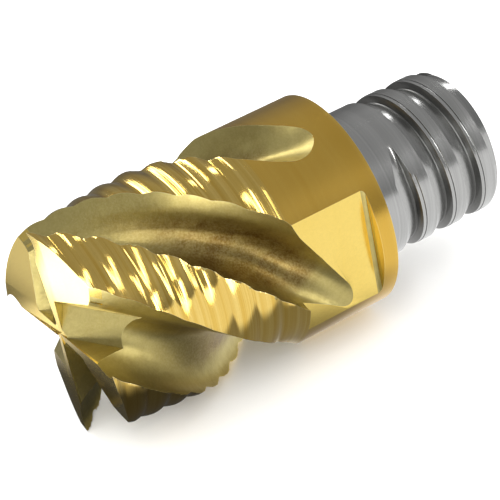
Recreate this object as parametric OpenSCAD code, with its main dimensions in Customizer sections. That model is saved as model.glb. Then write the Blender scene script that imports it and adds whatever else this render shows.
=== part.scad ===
// Screw-in roughing end mill head: a coated carbide head brazed to a threaded coupling.
// +X runs along the tool axis from the cutting end to the thread end, +Z is up.
// The origin is on the axis in the collar's rear seating face; the wrench flats face -Y and +Y.

/* [Head] */
// Diameter over the cutting edges and of the collar
head_d = 20; // [16:0.5:25]
// Distance from the front tooth corners to the rear seating face
head_l = 28.2; // [26:0.2:34]
// Diameter of the solid core between the flutes
core_d = 11.2; // [10.8:0.1:12.6]
// Angle of each tooth land, seen along the axis
land_angle = 37; // [30:1:45]
// How fast the flutes turn about the axis, in degrees per millimetre
flute_turn = 5.8; // [4:0.1:7]
// Distance between the crests of the wavy roughing profile
wave_pitch = 2.2; // [1.6:0.1:3]
// Depth of the wavy roughing profile
wave_depth = 0.3; // [0.1:0.05:0.5]
// Drop of each land from its cutting edge to its heel
land_relief = 0.5; // [0.2:0.1:0.8]

/* [Wrench flats] */
// Distance across the two flats
flat_af = 17; // [14:0.5:19]
// Distance from the rear face to the near end of the flats
flat_back = 1.5; // [1:0.1:3]
// Length of the flats along the axis
flat_l = 7.6; // [5:0.1:8]

/* [Coupling] */
// Diameter of the plain pilot neck
pilot_d = 13.9; // [12:0.1:15]
// Length of the plain pilot neck
pilot_l = 4; // [3:0.1:6]
// Distance from the seating face to the thread end
coupling_l = 13.5; // [12:0.5:18]
// Diameter over the thread crests
thread_d = 13.8; // [12:0.1:13.8]
// Thread pitch
thread_pitch = 3.25; // [2:0.05:4]
// Depth of the thread groove
thread_depth = 0.65; // [0.3:0.05:1]
// Length of the groove's long slope, along the axis
slope_w = 1.5; // [0.8:0.1:2]

/* [Brazed joint] */
// Diameter of the socket bored in the back of the head
socket_d = 9; // [7:0.1:10]
// Depth of the socket
socket_l = 6.5; // [4:0.1:7]
// Thickness of the braze layer
braze_t = 0.15; // [0.1:0.05:0.3]

/* [Hidden] */
$fn = 96;
head_r = head_d / 2;
core_r = core_d / 2;
heel_at = 90 - land_angle;
cone_from = -10.7;
cone_to = -9.2;
collar_from = -3.2;
wave_crest = -24.04;
wave_step = 0.27;
run_from = -11.96;
run_bend = 3;
run_slope = 0.565;
flute_middle = 23;
relief_end = 81;
relief_drop = 0.17;
heel_drop = 1.15;
gash_drop = 4.3;
gash_at = 12;
first_root = 8.35;
flank_w = 0.3;
// angles of the section points across one flute and one land, from a cutting edge
flute_steps = [0, 1.2, 3, 5.5, 8.5, 12, 16, 21, 26, 31, 36, 41, 46, 50];
land_steps = [0, 0.14, 0.34, 0.56, 0.78, 0.94];
turn_steps = concat(flute_steps, [for (s = land_steps) heel_at + s * land_angle]);
per_tooth = len(turn_steps);
row_gap = wave_pitch / 5;
cut_rows = floor((head_l + collar_from) / row_gap);
cols = 4 * per_tooth;

module along_x(x) {
    translate([x, 0, 0]) rotate([0, 90, 0]) children();
}

function clamp01(v) = max(0, min(1, v));
function edge_angle(x) = 88 - flute_turn * (x + head_l - 1.2);
function on_axis(x, r, a) = [x, -r * cos(a), r * sin(a)];

// share of the roughing profile and relief left at x: none on the collar
function rough_at(x) = 1 - clamp01((x - cone_from) / (cone_to - cone_from));

// round crests with sharp valleys, stepped along a little from tooth to tooth
function wave_turn(x, k) = 180 * (x - wave_crest - wave_step * (k + 1)) / wave_pitch;
function wave(x, k) = wave_depth * (1 - sqrt(pow(cos(wave_turn(x, k)), 2) + 0.03)) / 0.83;
function land_r(x, b, k) =
    head_r - rough_at(x) * (wave(x, k) + land_relief * (90 - b) / land_angle);

// the grinding wheel leaves the flute on an arc and then a straight ramp
function lift_from(u) = run_slope * (u < run_bend ? u * u / (2 * run_bend) : u - run_bend / 2);
function lift(x) = lift_from(max(0, x - run_from));

// height of the flute's floor over the core, by degrees from the cutting edge
flute_rise = [[-40, 9], [0, 4.4], [1, 3], [2.5, 1.6], [6, 0.85], [14, 0.2], [23, 0], [33, 0.25],
    [40, 0.85], [44, 1.6], [47, 2.5], [53, 4.05], [90, 12]];
function flute_r(x, b) =
    let (share = 1 + lift(x) / (core_r + 0.8))
    core_r + lift(x) + lookup(flute_middle + (b - flute_middle) * share, flute_rise);
function section_r(x, b, k) =
    b < heel_at ? min(land_r(x, heel_at, k), flute_r(x, b)) : land_r(x, b, k);

// how far behind the front corners the end face lies, round one tooth
function end_drop(b) =
    b >= relief_end ? relief_drop * (90 - b) / (90 - relief_end)
    : b >= heel_at
    ? relief_drop + (heel_drop - relief_drop) * (relief_end - b) / (relief_end - heel_at)
    : b >= gash_at
    ? heel_drop + (gash_drop - heel_drop) * (heel_at - b) / (heel_at - gash_at)
    : gash_drop * b / gash_at;
function row_x(i, b) =
    let (x = -head_l + i * row_gap, blend = clamp01(1 - i * row_gap / 6))
    x + end_drop(b) * blend;

// one closed mesh: the fluted end with its wavy lands, run-outs and end teeth
function fluted_points() = concat(
    [for (i = [0:cut_rows], k = [0:3], b = turn_steps)
        let (x = row_x(i, b))
        on_axis(x, i == cut_rows ? head_r - 0.02 : min(head_r - 0.02, section_r(x, b, k)),
            edge_angle(x) + b + 90 * k)],
    [[-head_l + 0.25, 0, 0], [row_x(cut_rows, 0), 0, 0]]
);
function next_col(j) = (j + 1) % cols;
function fluted_faces() = concat(
    [for (i = [0:cut_rows - 1], j = [0:cols - 1])
        [i * cols + j, (i + 1) * cols + next_col(j), (i + 1) * cols + j]],
    [for (i = [0:cut_rows - 1], j = [0:cols - 1])
        [i * cols + j, i * cols + next_col(j), (i + 1) * cols + next_col(j)]],
    [for (j = [0:cols - 1]) [(cut_rows + 1) * cols, next_col(j), j]],
    [for (j = [0:cols - 1])
        [(cut_rows + 1) * cols + 1, cut_rows * cols + j, cut_rows * cols + next_col(j)]]
);

module cutting_head() {
    color([0.66, 0.52, 0.2])
    difference() {
        union() {
            polyhedron(fluted_points(), fluted_faces());
            along_x(collar_from - 0.4) cylinder(h = -collar_from + 0.4, d = head_d);
        }
        along_x(-socket_l) cylinder(h = socket_l + 1, d = socket_d);
        for (side = [-1, 1])
            translate([-flat_back - flat_l / 2, side * (flat_af / 2 + 5), 0])
                cube([flat_l, 10, head_d + 4], center = true);
    }
}

// buttress thread: a long slope down to the root, then a steep flank up to the next crest
function root_x(a, n) = first_root - thread_pitch * (a + 55) / 360 + thread_pitch * n;
function groove_cut(d) = d < 0 ? clamp01(1 + d / slope_w) : clamp01(1 - d / flank_w);
function fade_in(a, n) = clamp01((root_x(a, n) - pilot_l - 0.2) / 0.6);
function end_r(x) = thread_d / 2 - 0.45 * clamp01((x - coupling_l + 0.5) / 0.5);
function thread_r(x, a) =
    min(end_r(x), thread_d / 2 - thread_depth
        * max([for (n = [-2:2]) groove_cut(x - root_x(a, n)) * fade_in(a, n)]));
thread_cols = 48;
thread_rows = 66;
thread_from = pilot_l - 0.3;

function thread_points() = concat(
    [for (i = [0:thread_rows], j = [0:thread_cols - 1])
        let (x = thread_from + (coupling_l - thread_from) * i / thread_rows)
        let (a = -180 + 360 * j / thread_cols)
        on_axis(x, i == 0 ? thread_d / 2 : thread_r(x, a), a)],
    [[thread_from, 0, 0], [coupling_l, 0, 0]]
);
function thread_faces() = concat(
    [for (i = [0:thread_rows - 1], j = [0:thread_cols - 1])
        let (k = (j + 1) % thread_cols)
        [i * thread_cols + j, (i + 1) * thread_cols + k, (i + 1) * thread_cols + j]],
    [for (i = [0:thread_rows - 1], j = [0:thread_cols - 1])
        let (k = (j + 1) % thread_cols)
        [i * thread_cols + j, i * thread_cols + k, (i + 1) * thread_cols + k]],
    [for (j = [0:thread_cols - 1])
        [(thread_rows + 1) * thread_cols, (j + 1) % thread_cols, j]],
    [for (j = [0:thread_cols - 1])
        [(thread_rows + 1) * thread_cols + 1, thread_rows * thread_cols + j,
            thread_rows * thread_cols + (j + 1) % thread_cols]]
);

module threaded_coupling() {
    color([0.62, 0.62, 0.61])
    union() {
        along_x(-socket_l + braze_t)
            cylinder(h = socket_l - braze_t + 1, d = socket_d - 2 * braze_t);
        along_x(0) cylinder(h = pilot_l, d = pilot_d);
        polyhedron(thread_points(), thread_faces());
    }
}

module braze_layer() {
    color([0.75, 0.72, 0.6])
    difference() {
        along_x(-socket_l) cylinder(h = socket_l, d = socket_d);
        along_x(-socket_l + braze_t) cylinder(h = socket_l + 1, d = socket_d - 2 * braze_t);
    }
}

cutting_head();
threaded_coupling();
braze_layer();
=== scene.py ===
import bpy
import math
from mathutils import Matrix, Vector


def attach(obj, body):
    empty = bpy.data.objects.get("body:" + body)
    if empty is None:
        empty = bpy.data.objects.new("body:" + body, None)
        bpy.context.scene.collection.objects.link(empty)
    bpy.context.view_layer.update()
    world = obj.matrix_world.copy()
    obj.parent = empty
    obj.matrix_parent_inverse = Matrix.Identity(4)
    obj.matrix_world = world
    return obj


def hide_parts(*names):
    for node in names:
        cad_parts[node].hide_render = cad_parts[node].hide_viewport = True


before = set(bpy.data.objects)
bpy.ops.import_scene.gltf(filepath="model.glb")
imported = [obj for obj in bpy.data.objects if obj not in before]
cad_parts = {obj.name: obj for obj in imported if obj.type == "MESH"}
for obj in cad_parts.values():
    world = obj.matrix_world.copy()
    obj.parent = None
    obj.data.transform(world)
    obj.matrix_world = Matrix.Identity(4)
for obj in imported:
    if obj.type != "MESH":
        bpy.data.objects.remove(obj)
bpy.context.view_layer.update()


def startFresh():
    if bpy.context.mode != "OBJECT":
        bpy.ops.object.mode_set(mode="OBJECT")
    bpy.ops.object.select_all(action="DESELECT")


def pick(obj):
    startFresh()
    obj.select_set(True)
    bpy.context.view_layer.objects.active = obj


def onAxis(x, r, angle):
    # a place r from the tool axis; angles run from -Y towards +Z
    a = math.radians(angle)
    return Vector((x, -r * math.cos(a), r * math.sin(a)))


def applyModifier(obj, kind, **settings):
    pick(obj)
    bpy.ops.object.modifier_add(type=kind)
    mod = obj.modifiers[-1]
    for key, value in settings.items():
        setattr(mod, key, value)
    bpy.ops.object.modifier_apply(modifier=mod.name)


def cutAway(obj, cutter):
    applyModifier(obj, "BOOLEAN", object=cutter, operation="DIFFERENCE", solver="MANIFOLD")
    bpy.data.objects.remove(cutter)


def sectionFace(name, points):
    # a flat face through the given points, ready to be extruded
    startFresh()
    bpy.ops.mesh.primitive_circle_add(vertices=len(points), radius=1, fill_type="NGON")
    obj = bpy.context.object
    obj.name = name
    for vert, point in zip(obj.data.vertices, points):
        vert.co = point
    return obj


def sweep(obj, steps):
    # each step pushes the end face on by a move, then turns it about the tool axis
    pick(obj)
    bpy.ops.object.mode_set(mode="EDIT")
    bpy.ops.mesh.select_all(action="SELECT")
    for move, turn in steps:
        bpy.ops.mesh.extrude_region_move(TRANSFORM_OT_translate={"value": move})
        if turn:
            bpy.ops.transform.rotate(value=math.radians(turn), orient_axis="X",
                                     center_override=(0, 0, 0))
    bpy.ops.mesh.select_all(action="SELECT")
    bpy.ops.mesh.normals_make_consistent(inside=False)
    bpy.ops.object.mode_set(mode="OBJECT")


def copyTurned(obj, name, turn):
    pick(obj)
    bpy.ops.object.duplicate()
    twin = bpy.context.object
    twin.name = name
    twin.data.transform(Matrix.Rotation(math.radians(turn), 4, "X"))
    return twin


def finishPiece(obj, name, node, smoothAngle):
    # millimetres to metres, smooth where the shape is smooth, and tied to the frame
    obj.name = name
    obj.data.name = name
    pick(obj)
    obj.scale = (0.001, 0.001, 0.001)
    bpy.ops.object.transform_apply(location=True, rotation=True, scale=True)
    bpy.ops.object.mode_set(mode="EDIT")
    bpy.ops.mesh.select_all(action="SELECT")
    bpy.ops.mesh.remove_doubles(threshold=0.000002)
    bpy.ops.mesh.normals_make_consistent(inside=False)
    bpy.ops.object.mode_set(mode="OBJECT")
    bpy.ops.object.shade_smooth_by_angle(angle=math.radians(smoothAngle))
    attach(obj, "root")
    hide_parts(node)
    print(name, "has", len(obj.data.polygons), "faces")


head = {
    "radius": 10.0,
    "length": 28.2,
    "edgeAngle": 88.0,      # of the first cutting edge, 1.2 mm behind the front
    "turnPerMm": 5.8,
    "landAngle": 37.0,
    "relief": 0.5,
    "blendFrom": 50.0,      # in the flutes' way the blank climbs back to full size,
    "blendTo": 80.0,        # between these angles behind the edge
    "wavePitch": 2.2,
    "waveDepth": 0.32,
    "waveRounding": 0.03,   # how blunt the valleys are
    "waveHeight": 0.83,     # of the wave's formula, so that its depth comes out right
    "waveCrest": -24.04,
    "waveStep": 0.27,
    "waveFade": 0.45,       # share of the waves' depth lost towards the back of a land
    "coneFrom": -10.7,
    "coneTo": -9.2,
    "runOutFrom": -11.96,
    "runOutTo": -1.6,
    "runOutBend": 3.0,
    "runOutSlope": 0.565,
    "straightFrom": -6.0,   # past here the wheel's way straightens out
    "floorMiddle": 23.0,    # degrees from the cutting edge to the deepest line of a flute
    "dish": 0.25,           # how far the middle of the end face lies behind the corners
    "reliefWidth": 1.6,
    "reliefSlope": 0.105,
    "heelSlope": 0.222,
}
sides = 256
rowLength = 0.15


def edgeAngle(x):
    return head["edgeAngle"] - head["turnPerMm"] * (x + head["length"] - 1.2)


def blankRadius(x, angle):
    behind = 90 - (angle - edgeAngle(x)) % 90
    rough = 1 - min(1, max(0, (x - head["coneFrom"]) / (head["coneTo"] - head["coneFrom"])))
    share = behind / head["landAngle"]
    if behind > head["blendTo"]:
        share = 0
    elif behind > head["blendFrom"]:
        climb = (head["blendTo"] - behind) / (head["blendTo"] - head["blendFrom"])
        share = climb * head["blendFrom"] / head["landAngle"]
    # round crests and sharp valleys, stepped along a little from tooth to tooth
    tooth = ((angle - edgeAngle(x)) // 90 + 2) % 4
    turn = math.pi * (x - head["waveCrest"] - head["waveStep"] * tooth) / head["wavePitch"]
    height = 1 - math.sqrt(math.cos(turn) ** 2 + head["waveRounding"])
    wave = head["waveDepth"] * height / head["waveHeight"]
    fade = 1 - head["waveFade"] * min(1, share) ** 2
    return head["radius"] - rough * (wave * fade + head["relief"] * share)


def makeBlank():
    # one ring is pulled out of a circle, and an array carries it along the axis
    rows = round(head["length"] / rowLength)
    startFresh()
    bpy.ops.mesh.primitive_circle_add(vertices=sides, radius=head["radius"], fill_type="NOTHING",
                                      location=(-head["length"], 0, 0),
                                      rotation=(0, math.radians(90), 0))
    blank = bpy.context.object
    bpy.ops.object.transform_apply(location=True, rotation=True, scale=True)
    bpy.ops.object.mode_set(mode="EDIT")
    bpy.ops.mesh.select_all(action="SELECT")
    bpy.ops.mesh.extrude_edges_move(TRANSFORM_OT_translate={"value": (head["length"] / rows, 0, 0)})
    bpy.ops.object.mode_set(mode="OBJECT")
    applyModifier(blank, "ARRAY", count=rows, use_relative_offset=False, use_constant_offset=True,
                  constant_offset_displace=(head["length"] / rows, 0, 0),
                  use_merge_vertices=True, merge_threshold=0.001)
    pick(blank)
    bpy.ops.object.mode_set(mode="EDIT")
    bpy.ops.mesh.select_all(action="DESELECT")
    bpy.ops.mesh.select_non_manifold()
    bpy.ops.mesh.edge_face_add()
    bpy.ops.mesh.select_all(action="SELECT")
    bpy.ops.mesh.normals_make_consistent(inside=False)
    bpy.ops.object.mode_set(mode="OBJECT")
    # lands fall away behind each edge in waves: a ground shape that only a rule gives
    for vert in blank.data.vertices:
        x, y, z = vert.co
        angle = math.degrees(math.atan2(z, -y))
        vert.co = onAxis(x, blankRadius(x, angle), angle)
    return blank


# one flute seen along the axis: degrees from the cutting edge, and distance from the axis
fluteSection = [
    (0.4, 10.35), (0, 10.0), (-2.2, 9.5), (-3.3, 8.9), (-2.9, 8.2), (-0.3, 7.35), (5.8, 6.44),
    (14.1, 5.82), (23, 5.6), (33, 5.84), (40.2, 6.44), (44.2, 7.2), (47, 8.1), (53.3, 9.65),
    (56.5, 10.6),
]
fluteCorners = {0, 1, 10, 12, 13, 14}
fluteOutside = [(60, 13.5), (30, 14.5), (1, 13.5)]   # closes the section well outside the head


def smoothSection(points, keep):
    # rounds the section between its sharp corners with a cubic through its points
    result = []
    last = len(points) - 1
    for i in range(last):
        p0, p1, p2, p3 = (Vector(points[min(last, max(0, i + k))]) for k in (-1, 0, 1, 2))
        if i in keep:
            p0 = p1
        if i + 1 in keep:
            p3 = p2
        for t in (0, 0.33, 0.67):
            result.append(0.5 * (2 * p1 + (p2 - p0) * t + (2 * p0 - 5 * p1 + 4 * p2 - p3) * t * t
                                 + (3 * p1 - p0 - 3 * p2 + p3) * t ** 3))
    result.append(Vector(points[last]))
    return result


def runOut(x):
    # the grinding wheel leaves the flute on an arc and then a straight ramp
    u = max(0, x - head["runOutFrom"])
    bend = head["runOutBend"]
    return head["runOutSlope"] * (u * u / (2 * bend) if u < bend else u - bend / 2)


def makeFluteCutter():
    start = -30.0
    step = 0.2
    section = smoothSection(fluteSection, fluteCorners) + [Vector(p) for p in fluteOutside]
    cutter = sectionFace("fluteCutter", [onAxis(start, r, edgeAngle(start) + b) for b, r in section])
    steps = []
    x = start
    middle = edgeAngle(start) + head["floorMiddle"]
    while x < head["runOutTo"]:
        outward = onAxis(0, runOut(x + step) - runOut(x), middle)
        slower = max(0.2, 1 - max(0, x - head["straightFrom"]) / 3)
        turn = head["turnPerMm"] * step * slower
        steps.append(((step, outward.y, outward.z), -turn))
        middle -= turn
        x += step
    sweep(cutter, steps)
    return cutter


def wedge(name, corners):
    # a cube whose corners are moved to their places
    startFresh()
    bpy.ops.mesh.primitive_cube_add(size=2)
    obj = bpy.context.object
    obj.name = name
    for vert in obj.data.vertices:
        vert.co = corners[(vert.co.x > 0, vert.co.y > 0, vert.co.z > 0)]
    pick(obj)
    bpy.ops.object.mode_set(mode="EDIT")
    bpy.ops.mesh.select_all(action="SELECT")
    bpy.ops.mesh.normals_make_consistent(inside=False)
    bpy.ops.object.mode_set(mode="OBJECT")
    return obj


frontX = -head["length"]
firstEdge = edgeAngle(frontX)
reach = 15.0      # the end and gash cutters run this far, out past the head's surface
clearance = 3.0   # and the end cutters stand this far clear of the front


def makeEndCutter(name, slope, start):
    # clears one quarter of the end face down to a plane that falls away behind the end edge
    corners = {}
    for out in (False, True):
        for behind in (False, True):
            along = reach * out
            back = reach * behind
            place = onAxis(0, along, firstEdge) + onAxis(0, back, firstEdge - 90)
            x = frontX + head["dish"] * (1 - along / head["radius"]) + start + slope * back
            corners[(False, out, behind)] = Vector((frontX - clearance, place.y, place.z))
            corners[(True, out, behind)] = Vector((x, place.y, place.z))
    return wedge(name, corners)


# corners of a gash's floor: behind the front, from the axis, degrees from the end edge
gash = {
    "start": (0.2, 0.92, 0.6),
    "end": (3.3, 6.2, -5.6),
    "side": (4.65, 6.75, 14.6),
    "runUp": 0.3,           # how far the slot reaches back towards the middle
    "width": 2.85,
    "wallLean": 0.35,
    "height": 12.0,
}


def makeGashCutter():
    # the slot in front of an end edge, as a square-rimmed wheel grinds it out into the flute
    start, end, side = (onAxis(frontX + dx, r, firstEdge + turn)
                        for dx, r, turn in (gash["start"], gash["end"], gash["side"]))
    travel = (end - start).normalized()
    edge = onAxis(0, 1, firstEdge)
    wall = (edge - travel * edge.dot(travel)).normalized()
    across = side - start
    across = (across - travel * across.dot(travel)).normalized()
    out = across.cross(travel)
    if out.x > 0:
        out = -out
    corners = {}
    for far in (False, True):
        base = start + travel * (reach if far else -gash["runUp"])
        corners[(far, False, False)] = base
        corners[(far, True, False)] = base + across * gash["width"]
        corners[(far, False, True)] = base + wall * gash["height"]
        lean = out + across * gash["wallLean"]
        corners[(far, True, True)] = base + across * gash["width"] + lean * gash["height"]
    return wedge("gashCutter", corners)


flat = {
    "across": 17.0,
    "from": -9.2,
    "to": -1.46,
    "corner": 0.35,
}


def makeFlatCutter():
    startFresh()
    length = flat["to"] - flat["from"]
    place = ((flat["to"] + flat["from"]) / 2, -flat["across"] / 2 - 5, 0)
    bpy.ops.mesh.primitive_cube_add(size=1, location=place, scale=(length, 10, 26))
    cutter = bpy.context.object
    bpy.ops.object.transform_apply(location=True, rotation=True, scale=True)
    bpy.ops.object.mode_set(mode="EDIT")
    bpy.ops.mesh.select_all(action="DESELECT")
    bpy.ops.object.mode_set(mode="OBJECT")
    for edge in cutter.data.edges:
        ends = [cutter.data.vertices[i].co for i in edge.vertices]
        edge.select = all(p.x > flat["to"] - 0.01 and p.y > -flat["across"] / 2 - 0.01 for p in ends)
    bpy.ops.object.mode_set(mode="EDIT")
    bpy.ops.mesh.bevel(offset=flat["corner"], segments=4, affect="EDGES")
    bpy.ops.object.mode_set(mode="OBJECT")
    return cutter


print("turning the head's blank")
headPiece = makeBlank()
print("cutting the flutes, end teeth and flats")
reliefStep = head["reliefWidth"] * (head["reliefSlope"] - head["heelSlope"])
cutters = [
    (makeFluteCutter(), 4),
    (makeEndCutter("reliefCutter", head["reliefSlope"], 0), 4),
    (makeEndCutter("heelCutter", head["heelSlope"], reliefStep), 4),
    (makeGashCutter(), 4),
    (makeFlatCutter(), 2),
]
for cutter, count in cutters:
    for k in range(count):
        cutAway(headPiece, copyTurned(cutter, "cut", 360 / count * k))
    bpy.data.objects.remove(cutter)


coupling = {
    "radius": 6.95,
    "length": 13.5,
    "pitch": 3.25,
    "depth": 0.68,
    "firstGroove": 5.1,     # where the groove's root would cross 55 degrees below the front
    "startAngle": 62.0,
    "fadeIn": 40.0,         # degrees over which the groove comes in
    "endChamfer": 0.5,
}


def makeCoupling():
    startFresh()
    bpy.ops.mesh.primitive_cylinder_add(vertices=192, radius=coupling["radius"],
                                        depth=coupling["length"], end_fill_type="NGON",
                                        location=(coupling["length"] / 2, 0, 0),
                                        rotation=(0, math.radians(90), 0))
    body = bpy.context.object
    bpy.ops.object.transform_apply(location=True, rotation=True, scale=True)
    bpy.ops.object.mode_set(mode="EDIT")
    bpy.ops.mesh.select_all(action="DESELECT")
    bpy.ops.object.mode_set(mode="OBJECT")
    for edge in body.data.edges:
        edge.select = all(body.data.vertices[i].co.x > coupling["length"] - 0.01 for i in edge.vertices)
    bpy.ops.object.mode_set(mode="EDIT")
    bpy.ops.mesh.bevel(offset=coupling["endChamfer"], segments=4, affect="EDGES")
    bpy.ops.object.mode_set(mode="OBJECT")
    return body


def makeGrooveCutter():
    # buttress groove: a long slope down, then a steep flank up to the next crest's rounded rim
    r = coupling["radius"]
    root = r - coupling["depth"]
    profile = [(-1.5, r + 0.02), (-0.22, root), (0.0, root - 0.02), (0.1, root + 0.04),
               (0.26, r - 0.16), (0.34, r - 0.06), (0.5, r - 0.02), (0.66, r - 0.05),
               (0.72, r + 0.02), (0.8, r + 0.9), (-1.6, r + 0.9)]
    turnStep = 5
    clear = 0.95   # lifts the cutter off the neck where the groove starts
    x = coupling["firstGroove"] - coupling["pitch"] * (coupling["startAngle"] + 55) / 360
    places = [onAxis(x + dx, rr + clear, coupling["startAngle"]) for dx, rr in profile]
    cutter = sectionFace("grooveCutter", places)
    steps = []
    rise = clear
    turned = 0
    while x < coupling["length"] + 2:
        newRise = max(0.0, clear * (1 - (turned + turnStep) / coupling["fadeIn"]))
        inward = onAxis(0, newRise - rise, coupling["startAngle"] - turned)
        move = coupling["pitch"] * turnStep / 360
        steps.append(((move, inward.y, inward.z), -turnStep))
        x += move
        turned += turnStep
        rise = newRise
    sweep(cutter, steps)
    return cutter


print("turning the coupling")
couplingPiece = makeCoupling()
cutAway(couplingPiece, makeGrooveCutter())


def addNode(tree, kind, **settings):
    node = tree.nodes.new(kind)
    for key, value in settings.items():
        setattr(node, key, value)
    return node


def wire(tree, source, target):
    tree.links.new(source, target)


def feed(tree, value, socket):
    # a plain number is set on the socket, anything else is wired to it
    if isinstance(value, (int, float)):
        socket.default_value = value
    else:
        wire(tree, value, socket)


def mathNode(tree, operation, *values):
    node = addNode(tree, "ShaderNodeMath", operation=operation)
    for socket, value in zip(node.inputs, values):
        feed(tree, value, socket)
    return node.outputs[0]


def rangeNode(tree, value, start, end, low=0.0, high=1.0, kind="SMOOTHSTEP"):
    # the value's way from start to end becomes a way from low to high
    node = addNode(tree, "ShaderNodeMapRange", interpolation_type=kind)
    feed(tree, value, node.inputs["Value"])
    feed(tree, start, node.inputs["From Min"])
    feed(tree, end, node.inputs["From Max"])
    feed(tree, low, node.inputs["To Min"])
    feed(tree, high, node.inputs["To Max"])
    return node.outputs[0]


def noiseNode(tree, place, scale, detail=2.0, rough=0.5, dimensions="3D"):
    node = addNode(tree, "ShaderNodeTexNoise", noise_dimensions=dimensions)
    feed(tree, scale, node.inputs["Scale"])
    node.inputs["Detail"].default_value = detail
    node.inputs["Roughness"].default_value = rough
    wire(tree, place, node.inputs["W" if dimensions == "1D" else "Vector"])
    return node.outputs["Fac"]


def objectPlace(tree):
    # the place on the object, whole and split into X, Y and Z
    place = addNode(tree, "ShaderNodeTexCoord").outputs["Object"]
    split = addNode(tree, "ShaderNodeSeparateXYZ")
    wire(tree, place, split.inputs[0])
    return place, split.outputs


def newGroup(name, inputs, outputs):
    group = bpy.data.node_groups.new(name, "ShaderNodeTree")
    for label, value in inputs.items():
        socket = group.interface.new_socket(name=label, in_out="INPUT", socket_type="NodeSocketFloat")
        socket.default_value = value
    for label in outputs:
        group.interface.new_socket(name=label, in_out="OUTPUT", socket_type="NodeSocketFloat")
    return group, addNode(group, "NodeGroupInput"), addNode(group, "NodeGroupOutput")


def makeGrindMarks():
    # fine lines left round the tool by the grinding wheel, in two sizes, wandering a little
    inputs = {"Lines per metre": 4000.0, "Wander": 0.3}
    group, given, result = newGroup("grindMarks", inputs, ["Lines"])
    place, axes = objectPlace(group)
    wander = mathNode(group, "MULTIPLY", noiseNode(group, place, 180.0), given.outputs["Wander"])
    along = mathNode(group, "MULTIPLY", axes["X"], given.outputs["Lines per metre"])
    at = mathNode(group, "ADD", along, wander)
    coarse = mathNode(group, "MULTIPLY", noiseNode(group, at, 0.5, 1.0, 0.5, "1D"), 0.6)
    fine = mathNode(group, "MULTIPLY", noiseNode(group, at, 2.2, 2.0, 0.6, "1D"), 0.4)
    wire(group, mathNode(group, "ADD", coarse, fine), result.inputs["Lines"])
    return group


def makeFluteMarksAndShade():
    # long streaks that follow the flutes' twist, and a mask of painted shade that darkens the flutes nearer
    # the axis, kept off close to the teeth
    inputs = {"Lines per metre": 900.0, "Twist": 101.2}   # the twist in radians per metre
    group, given, result = newGroup("fluteMarksAndShade", inputs, ["Lines", "Depth"])
    place, axes = objectPlace(group)
    untwist = addNode(group, "ShaderNodeVectorRotate", rotation_type="X_AXIS")
    wire(group, place, untwist.inputs["Vector"])
    wire(group, mathNode(group, "MULTIPLY", axes["X"], given.outputs["Twist"]), untwist.inputs["Angle"])
    stretch = addNode(group, "ShaderNodeVectorMath", operation="MULTIPLY")
    stretch.inputs[1].default_value = (0.06, 1, 1)
    wire(group, untwist.outputs[0], stretch.inputs[0])
    lines = noiseNode(group, stretch.outputs[0], given.outputs["Lines per metre"])
    wire(group, lines, result.inputs["Lines"])
    squares = [mathNode(group, "POWER", axes[label], 2.0) for label in "YZ"]
    fromAxis = mathNode(group, "SQRT", mathNode(group, "ADD", *squares))
    jitter = mathNode(group, "MULTIPLY", noiseNode(group, stretch.outputs[0], 500.0), 0.0016)
    # painted shade: the nearer the axis, the darker the flute is painted
    depthShade = rangeNode(group, mathNode(group, "ADD", fromAxis, jitter), 0.0094, 0.0076)
    pastTeeth = rangeNode(group, axes["X"], -0.025, -0.014)
    wire(group, mathNode(group, "MULTIPLY", depthShade, pastTeeth), result.inputs["Depth"])
    return group


def makeGrain():
    # the pin-point speckle of a coating over a ground surface, and broad cloudy patches
    group, given, result = newGroup("coatGrain", {"Grains per metre": 6000.0}, ["Grain", "Patches"])
    place, _ = objectPlace(group)
    grain = noiseNode(group, place, given.outputs["Grains per metre"], 3.0, 0.7)
    wire(group, grain, result.inputs["Grain"])
    wire(group, noiseNode(group, place, 260.0, 3.0), result.inputs["Patches"])
    return group


def makeEdgeWearAndShade():
    # a thin line along every edge, broken up by noise: a bright worn line where it stands proud, painted
    # shade where it is an inner corner
    inputs = {"Width": 0.00012, "Breakup": 0.5}
    group, given, result = newGroup("edgeWearAndShade", inputs, ["Wear", "CornerShade"])
    geometry = addNode(group, "ShaderNodeNewGeometry")
    rounded = addNode(group, "ShaderNodeBevel", samples=6)
    wire(group, given.outputs["Width"], rounded.inputs["Radius"])
    facing = addNode(group, "ShaderNodeVectorMath", operation="DOT_PRODUCT")
    wire(group, rounded.outputs[0], facing.inputs[0])
    wire(group, geometry.outputs["True Normal"], facing.inputs[1])
    line = rangeNode(group, facing.outputs["Value"], 0.985, 0.90)
    place, _ = objectPlace(group)
    gaps = mathNode(group, "MULTIPLY", noiseNode(group, place, 2500.0), given.outputs["Breakup"])
    edge = mathNode(group, "MULTIPLY", line, mathNode(group, "SUBTRACT", 1.0, gaps))
    for label, limits in (("Wear", (0.495, 0.52)), ("CornerShade", (0.505, 0.48))):
        side = rangeNode(group, geometry.outputs["Pointiness"], *limits)
        wire(group, mathNode(group, "MULTIPLY", edge, side), result.inputs[label])
    return group


grindMarks = makeGrindMarks()
fluteMarksAndShade = makeFluteMarksAndShade()
coatGrain = makeGrain()
edgeWearAndShade = makeEdgeWearAndShade()


def placeGroup(tree, group, **values):
    node = addNode(tree, "ShaderNodeGroup", node_tree=group)
    for key, value in values.items():
        node.inputs[key.replace("_", " ")].default_value = value
    return node


def mixColor(tree, share, first, second):
    node = addNode(tree, "ShaderNodeMix", data_type="RGBA")
    wire(tree, share, node.inputs["Factor"])
    for socket, value in ((node.inputs["A"], first), (node.inputs["B"], second)):
        if isinstance(value, tuple):
            socket.default_value = (*value, 1)
        else:
            wire(tree, value, socket)
    return node.outputs["Result"]


def blend(tree, first, firstShare, second, secondShare):
    return mathNode(tree, "ADD", mathNode(tree, "MULTIPLY", first, firstShare),
                    mathNode(tree, "MULTIPLY", second, secondShare))


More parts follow.
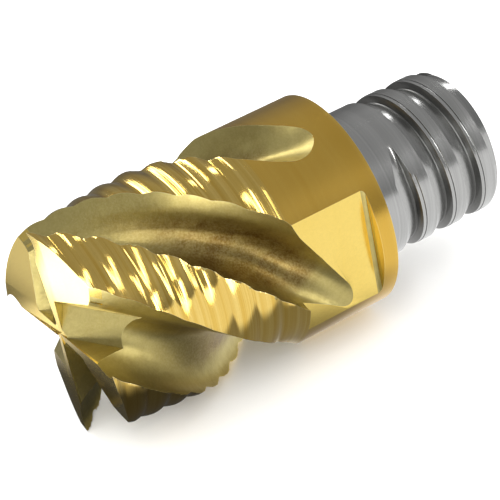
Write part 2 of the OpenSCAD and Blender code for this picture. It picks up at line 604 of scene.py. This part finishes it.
def metalFinish(name, look):
    # one ground metal surface: colour, patches, lines, speckle, painted shade along inner corners and
    # bright worn edges
    mat = bpy.data.materials.new(name)
    mat.use_nodes = True
    tree = mat.node_tree
    bsdf = tree.nodes["Principled BSDF"]
    bsdf.inputs["Metallic"].default_value = 1.0
    grainGroup = placeGroup(tree, coatGrain, Grains_per_metre=look["grains"])
    grain = grainGroup.outputs["Grain"]
    edges = placeGroup(tree, edgeWearAndShade, Width=look["wearWidth"])
    color = mixColor(tree, grainGroup.outputs["Patches"], look["color"], look["patchColor"])
    # painted shade: the flutes' colour turns darker deeper down
    if "paintedShadeColor" in look:
        marksGroup = placeGroup(tree, fluteMarksAndShade, Lines_per_metre=look["lines"])
        color = mixColor(tree, marksGroup.outputs["Depth"], color, look["paintedShadeColor"])
    else:
        marksGroup = placeGroup(tree, grindMarks, Lines_per_metre=look["lines"], Wander=look["wander"])
    marks = marksGroup.outputs["Lines"]
    layers = [
        (rangeNode(tree, marks, 0.35, 0.65, 0.0, look["streaks"], "LINEAR"), look["streakColor"]),
        (rangeNode(tree, grain, 0.4, 0.68, 0.0, look["speckle"], "LINEAR"), look["speckleColor"]),
        # painted shade darkens the inner corners
        (mathNode(tree, "MULTIPLY", edges.outputs["CornerShade"], look["paintedCornerShade"]), look["paintedCornerShadeColor"]),
        (mathNode(tree, "MULTIPLY", edges.outputs["Wear"], look["wear"]), look["wearColor"]),
    ]
    for share, layerColor in layers:
        color = mixColor(tree, share, color, layerColor)
    wire(tree, color, bsdf.inputs["Base Color"])
    dull = blend(tree, marks, 0.5, grain, 0.5)
    wire(tree, rangeNode(tree, dull, 0.0, 1.0, *look["rough"], "LINEAR"), bsdf.inputs["Roughness"])
    bump = addNode(tree, "ShaderNodeBump")
    bump.inputs["Strength"].default_value = 1.0
    bump.inputs["Distance"].default_value = 0.001
    wire(tree, blend(tree, marks, look["lineHeight"], grain, look["grainHeight"]), bump.inputs["Height"])
    wire(tree, bump.outputs[0], bsdf.inputs["Normal"])
    return mat


# heights are millimetres of bump, widths are metres, and colours are linear
brightCoatLook = {
    "color": (0.72, 0.48, 0.10), "patchColor": (0.64, 0.41, 0.08),
    "lines": 3600.0, "wander": 0.5, "grains": 5000.0,
    "streaks": 0.5, "streakColor": (0.92, 0.72, 0.26),
    "speckle": 0.1, "speckleColor": (0.55, 0.36, 0.08),
    "paintedCornerShade": 0.5, "paintedCornerShadeColor": (0.25, 0.15, 0.03), "wearWidth": 0.0001,
    "wear": 0.6, "wearColor": (1.0, 0.88, 0.5),
    "rough": (0.08, 0.16), "lineHeight": 0.02, "grainHeight": 0.0008,
}
satinCoatLook = {
    # the darker colour deep in the flutes is painted shade
    "color": (0.52, 0.44, 0.17), "patchColor": (0.44, 0.36, 0.12), "paintedShadeColor": (0.17, 0.10, 0.022),
    "lines": 900.0, "grains": 5200.0,
    "streaks": 0.4, "streakColor": (0.36, 0.28, 0.09),
    "speckle": 0.3, "speckleColor": (0.62, 0.52, 0.24),
    "paintedCornerShade": 0.7, "paintedCornerShadeColor": (0.06, 0.035, 0.01), "wearWidth": 0.00012,
    "wear": 0.6, "wearColor": (0.85, 0.75, 0.35),
    "rough": (0.3, 0.46), "lineHeight": 0.03, "grainHeight": 0.009,
}
flatCoatLook = dict(brightCoatLook, color=(0.87, 0.66, 0.18), patchColor=(0.80, 0.58, 0.14),
                    lines=1200.0, streaks=0.1, rough=(0.14, 0.24), lineHeight=0.001, grainHeight=0.003)
collarCoatLook = dict(brightCoatLook, color=(0.70, 0.44, 0.08), patchColor=(0.62, 0.38, 0.06),
                      lines=900.0, streaks=0.12, rough=(0.2, 0.3), lineHeight=0.0015,
                      grainHeight=0.002)
bareMetalLook = {
    "color": (0.43, 0.43, 0.42), "patchColor": (0.37, 0.37, 0.36),
    "lines": 2500.0, "wander": 0.2, "grains": 4000.0,
    "streaks": 0.3, "streakColor": (0.6, 0.6, 0.59),
    "speckle": 0.08, "speckleColor": (0.4, 0.4, 0.4),
    # the near-black line along the thread's inner corners is painted shade
    "paintedCornerShade": 0.95, "paintedCornerShadeColor": (0.02, 0.02, 0.018), "wearWidth": 0.00014,
    "wear": 0.5, "wearColor": (0.8, 0.8, 0.78),
    "rough": (0.18, 0.28), "lineHeight": 0.0015, "grainHeight": 0.0008,
}
# a darker copy of the bare metal, painted shade for the thread's steep flanks
shadedFlankLook = dict(bareMetalLook, color=(0.10, 0.10, 0.095), patchColor=(0.07, 0.07, 0.065),
                 streaks=0.1, wear=0.3, rough=(0.26, 0.36))
brazeLook = dict(bareMetalLook, color=(0.62, 0.56, 0.4), patchColor=(0.5, 0.44, 0.3), speckle=0.3,
                 rough=(0.34, 0.5))

coats = [metalFinish("brightCoat", brightCoatLook), metalFinish("satinCoat", satinCoatLook),
         metalFinish("flatCoat", flatCoatLook), metalFinish("collarCoat", collarCoatLook)]
bright, satin, plainFlat, plainCollar = range(len(coats))
bareMetals = [metalFinish("bareMetal", bareMetalLook), metalFinish("threadFlankShade", shadedFlankLook)]
plainMetal, flank = range(len(bareMetals))
brazeMetal = metalFinish("brazeMetal", brazeLook)

# how a face of the head is told apart: places in millimetres, directions as parts of its normal
telling = {
    "flatGap": 0.01,        # a wrench flat lies this close to its plane
    "landFrom": 9.1,        # a land lies further than this from the axis,
    "landGap": 0.02,        # this close to the blank's surface,
    "landOutward": 0.85,    # and looks outward at least this much
    "endDepth": 2.2,        # an end face lies this close behind the front
    "endForward": -0.6,
    "webDepth": 1.3,        # and what joins the end faces round the middle, this close
    "webRadius": 8.5,
    "webForward": 0.2,
    "rearFrom": -2.5,       # past here only the flats' end walls and the seating face look along
    "along": 0.9,
}


def coatNumber(center, normal):
    # lands and collar keep the blank's surface; a cutter left a flat, an end face or a flute
    x, y, z = center
    r = math.hypot(y, z)
    outward = Vector((0, y, z)).normalized()
    angle = math.degrees(math.atan2(z, -y))
    behind = x - frontX
    if abs(abs(y) - flat["across"] / 2) < telling["flatGap"] and abs(normal.y) > 0.99:
        return plainFlat
    onBlank = abs(r - blankRadius(x, angle)) < telling["landGap"]
    if r > telling["landFrom"] and onBlank and normal.dot(outward) > telling["landOutward"]:
        return plainCollar if x > head["coneTo"] else bright
    if normal.x < telling["endForward"] and behind < telling["endDepth"]:
        return plainFlat
    if normal.x < telling["webForward"] and behind < telling["webDepth"] and r < telling["webRadius"]:
        return plainFlat
    if x > telling["rearFrom"] and abs(normal.x) > telling["along"]:
        return plainCollar if normal.x > 0 else plainFlat
    return satin


def giveFinishes(obj, finishes):
    obj.data.materials.clear()
    for one in finishes:
        obj.data.materials.append(one)


giveFinishes(headPiece, coats)
giveFinishes(couplingPiece, bareMetals)
for face in couplingPiece.data.polygons:
    # the steep flanks of the thread, which face the collar, get the darker copy of the metal: painted shade
    steep = face.normal.x < -0.4 and face.center.x > 1
    face.material_index = flank if steep else plainMetal
for face in headPiece.data.polygons:
    face.material_index = coatNumber(face.center, face.normal)

finishPiece(headPiece, "coatedHead", "cutting_head", 28)
finishPiece(couplingPiece, "threadedNeck", "threaded_coupling", 28)
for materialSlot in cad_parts["braze_layer"].material_slots:
    materialSlot.material = brazeMetal


stage = {
    "floorLevel": -0.0101,
    # the floor's glow is painted light that only the metal's reflections see
    "floorGlow": 1.15,      # what the metal mirrors from the open floor
    # painted shadows on the floor, seen only in the metal's reflections: middle, half sizes, and what is
    # left of the glow
    "paintedShadows": [((-0.026, -0.002), (0.011, 0.018), 0.05), ((-0.009, -0.011), (0.012, 0.008), 0.25)],
    # how the painted glow changes along an axis, dimmer behind and brighter in front: from, to, and its
    # share at each
    "glowBehind": (0.02, 0.026, 1.0, 0.15),
    "glowAhead": (-0.038, -0.043, 1.0, 4.5),
    "background": 1.5,
    # what the metal mirrors from the studio: brighter in front, by Y, and above, by Z
    "studioByDepth": [(0.0, 0.55), (0.3, 0.45), (0.55, 0.45), (0.8, 0.42), (1.0, 0.4)],
    "studioByHeight": [(0.0, 0.55), (0.3, 0.9), (0.6, 1.2), (1.0, 1.1)],
}


def addRamp(tree, place, stops):
    ramp = addNode(tree, "ShaderNodeValToRGB")
    ramp.color_ramp.interpolation = "EASE"
    while len(ramp.color_ramp.elements) < len(stops):
        ramp.color_ramp.elements.new(0.5)
    for element, (position, level) in zip(ramp.color_ramp.elements, stops):
        element.position = position
        element.color = (level, level, level, 1)
    wire(tree, place, ramp.inputs[0])
    return ramp.outputs[0]


def mirroredApart(tree, seen, mirrored, target):
    # one look for the eye and another for what the metal mirrors
    mix = addNode(tree, "ShaderNodeMixShader")
    wire(tree, addNode(tree, "ShaderNodeLightPath").outputs["Is Glossy Ray"], mix.inputs[0])
    wire(tree, seen, mix.inputs[1])
    wire(tree, mirrored, mix.inputs[2])
    wire(tree, mix.outputs[0], target)


def makeFloorMaterial():
    # a white floor to the eye; for the metal's reflections it glows as painted light, bright in front, with
    # painted shadow right under the tool
    mat = bpy.data.materials.new("paleFloor")
    mat.use_nodes = True
    tree = mat.node_tree
    bsdf = tree.nodes["Principled BSDF"]
    bsdf.inputs["Base Color"].default_value = (0.93, 0.93, 0.92, 1)
    bsdf.inputs["Roughness"].default_value = 0.8
    bsdf.inputs["Specular IOR Level"].default_value = 0.0
    place, axes = objectPlace(tree)
    level = stage["floorGlow"]
    for middle, size, shade in stage["paintedShadows"]:
        mapping = addNode(tree, "ShaderNodeMapping")
        mapping.inputs["Location"].default_value = (-middle[0] / size[0], -middle[1] / size[1], 0)
        mapping.inputs["Scale"].default_value = (1 / size[0], 1 / size[1], 0)
        wire(tree, place, mapping.inputs["Vector"])
        distance = addNode(tree, "ShaderNodeVectorMath", operation="LENGTH")
        wire(tree, mapping.outputs[0], distance.inputs[0])
        # painted shadow: the glow fades inside each patch
        patch = rangeNode(tree, distance.outputs["Value"], 0.6, 1.2, shade)
        level = mathNode(tree, "MULTIPLY", patch, level)
    for axis, change in (("Y", stage["glowBehind"]), ("X", stage["glowAhead"])):
        level = mathNode(tree, "MULTIPLY", level, rangeNode(tree, axes[axis], *change))
    glow = addNode(tree, "ShaderNodeEmission")
    wire(tree, level, glow.inputs["Strength"])
    mirroredApart(tree, bsdf.outputs[0], glow.outputs[0], tree.nodes["Material Output"].inputs["Surface"])
    return mat


print("setting the stage")
startFresh()
bpy.ops.mesh.primitive_plane_add(size=3, location=(0, 0, stage["floorLevel"]))
floor = bpy.context.object
floor.name = "floor"
bpy.ops.object.transform_apply(location=True, rotation=True, scale=True)
floor.data.materials.append(makeFloorMaterial())

middleOfHead = (-0.01, 0, 0)
# each soft strip light: name, place, what it is aimed at, size and power
lights = [
    ("key", (-0.16, -0.22, 0.26), middleOfHead, (0.05, 0.32), 0.36),
    ("side", (0.24, -0.2, 0.1), (0, 0, 0), (0.03, 0.2), 0.18),
    ("low", (-0.12, -0.32, 0.06), middleOfHead, (0.04, 0.12), 0.18),
    ("backLeft", (-0.04, 0.23, 0.26), middleOfHead, (0.035, 0.42), 0.45),
    ("backRight", (0.26, 0.18, 0.15), middleOfHead, (0.035, 0.2), 0.135),
]
for name, place, aim, size, power in lights:
    startFresh()
    bpy.ops.object.light_add(type="AREA", location=place)
    light = bpy.context.object
    light.name = name
    light.data.shape = "RECTANGLE"
    light.data.size, light.data.size_y = size
    light.data.energy = power
    light.rotation_euler = (Vector(aim) - Vector(place)).to_track_quat("-Z", "Y").to_euler()


def makeWorld():
    # white to the eye, but the metal mirrors a grey studio: lighter in front and above
    world = bpy.data.worlds.new("studio")
    bpy.context.scene.world = world
    world.use_nodes = True
    tree = world.node_tree
    plain = tree.nodes["Background"]
    plain.inputs["Color"].default_value = (1, 1, 1, 1)
    plain.inputs["Strength"].default_value = stage["background"]
    split = addNode(tree, "ShaderNodeSeparateXYZ")
    wire(tree, addNode(tree, "ShaderNodeTexCoord").outputs["Generated"], split.inputs[0])
    depth = mathNode(tree, "MULTIPLY_ADD", split.outputs["Y"], 0.5, 0.5)
    byDepth = addRamp(tree, depth, stage["studioByDepth"])
    byHeight = addRamp(tree, split.outputs["Z"], stage["studioByHeight"])
    mirrored = addNode(tree, "ShaderNodeBackground")
    wire(tree, mathNode(tree, "MULTIPLY", byDepth, byHeight), mirrored.inputs["Strength"])
    mirroredApart(tree, plain.outputs[0], mirrored.outputs[0], tree.nodes["World Output"].inputs["Surface"])


makeWorld()

# the camera looks down on the cutting end from the front left, tipped a little to one side
view = {
    "place": (-0.08031829, -0.14604796, 0.10095933),
    "right": (0.83001487, -0.52906062, -0.17655079),
    "down": (-0.41552306, -0.37541848, -0.82849354),
    "sensor": 36,
    "lens": 157.67,
    "nearest": 0.01,
}
right = Vector(view["right"]).normalized()
down = Vector(view["down"]).normalized()
turned = Matrix((right, -down, -right.cross(down))).transposed().to_4x4()
camera = bpy.data.objects.new("camera", bpy.data.cameras.new("camera"))
bpy.context.scene.collection.objects.link(camera)
camera.matrix_world = Matrix.Translation(view["place"]) @ turned
camera.data.sensor_width = view["sensor"]
camera.data.lens = view["lens"]
camera.data.clip_start = view["nearest"]
bpy.context.scene.camera = camera

bpy.context.scene.view_settings.view_transform = "Standard"
